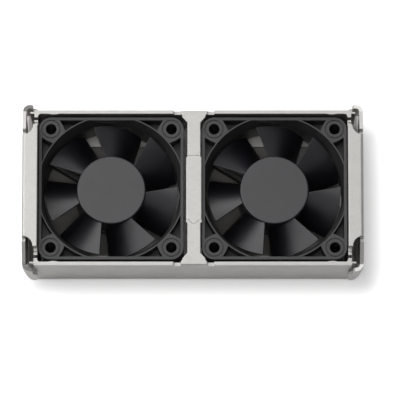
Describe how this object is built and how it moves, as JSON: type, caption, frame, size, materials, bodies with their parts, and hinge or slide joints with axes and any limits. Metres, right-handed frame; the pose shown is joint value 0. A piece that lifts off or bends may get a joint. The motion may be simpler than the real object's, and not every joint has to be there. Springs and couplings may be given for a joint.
{
  "type": "server fan module",
  "caption": "Folded sheet-metal tray holding a pair of square axial fans side by side, with raised side channels, hooked corner ears and a channel-section bridge.",
  "frame": {"origin": "centre of the footprint, at the back face of the tray", "axes": "+X along the row of fans, +Y across the tray, +Z out of the air inlet side"},
  "size_m": [0.1412, 0.0702, 0.0354],
  "materials": {
    "galvanised_sheet": "zinc-coated sheet steel, matt, with fine rolling grain",
    "frame_plastic": "black glass-filled polyester, fine moulded texture",
    "impeller_plastic": "black moulded polyester, satin",
    "sintered_bronze": "oil-filled sintered bronze",
    "natural_nylon": "natural nylon",
    "lamination_steel": "stacked electrical steel",
    "copper_winding": "enamelled copper wire",
    "circuit_board": "green solder mask",
    "component_black": "moulded epoxy packages",
    "screw_steel": "zinc-plated",
    "yoke_steel": "drawn steel",
    "ferrite": "rubber-bonded ferrite",
    "shaft_steel": "ground steel"
  },
  "bodies": {
    "module": {"tray": "galvanised_sheet", "centre_bridge": "galvanised_sheet", "left_end_channel": "galvanised_sheet", "right_end_channel": "galvanised_sheet", "left_frame": "frame_plastic", "left_sleeve_bearing": "sintered_bronze", "left_thrust_pad": "natural_nylon", "left_stator_core": "lamination_steel", "left_stator_insulators": "natural_nylon", "left_stator_coils": "copper_winding", "left_circuit_board": "circuit_board", "left_board_components": "component_black", "left_mounting_screws": "screw_steel", "right_frame": "frame_plastic", "right_sleeve_bearing": "sintered_bronze", "right_thrust_pad": "natural_nylon", "right_stator_core": "lamination_steel", "right_stator_insulators": "natural_nylon", "right_stator_coils": "copper_winding", "right_circuit_board": "circuit_board", "right_board_components": "component_black", "right_mounting_screws": "screw_steel"},
    "left_rotor": {"left_impeller": "impeller_plastic", "left_rotor_yoke": "yoke_steel", "left_magnet_ring": "ferrite", "left_shaft": "shaft_steel", "left_retaining_clip": "natural_nylon", "left_oil_washer": "natural_nylon"},
    "right_rotor": {"right_impeller": "impeller_plastic", "right_rotor_yoke": "yoke_steel", "right_magnet_ring": "ferrite", "right_shaft": "shaft_steel", "right_retaining_clip": "natural_nylon", "right_oil_washer": "natural_nylon"}
  },
  "joints": [
    {"name": "left_fan_spin", "type": "hinge", "parent": "module", "child": "left_rotor", "pos_m": [-0.03385, 0, 0.0034], "axis": [0, 0, 1], "continuous": true},
    {"name": "right_fan_spin", "type": "hinge", "parent": "module", "child": "right_rotor", "pos_m": [0.03385, 0, 0.0034], "axis": [0, 0, 1], "continuous": true}
  ]
}
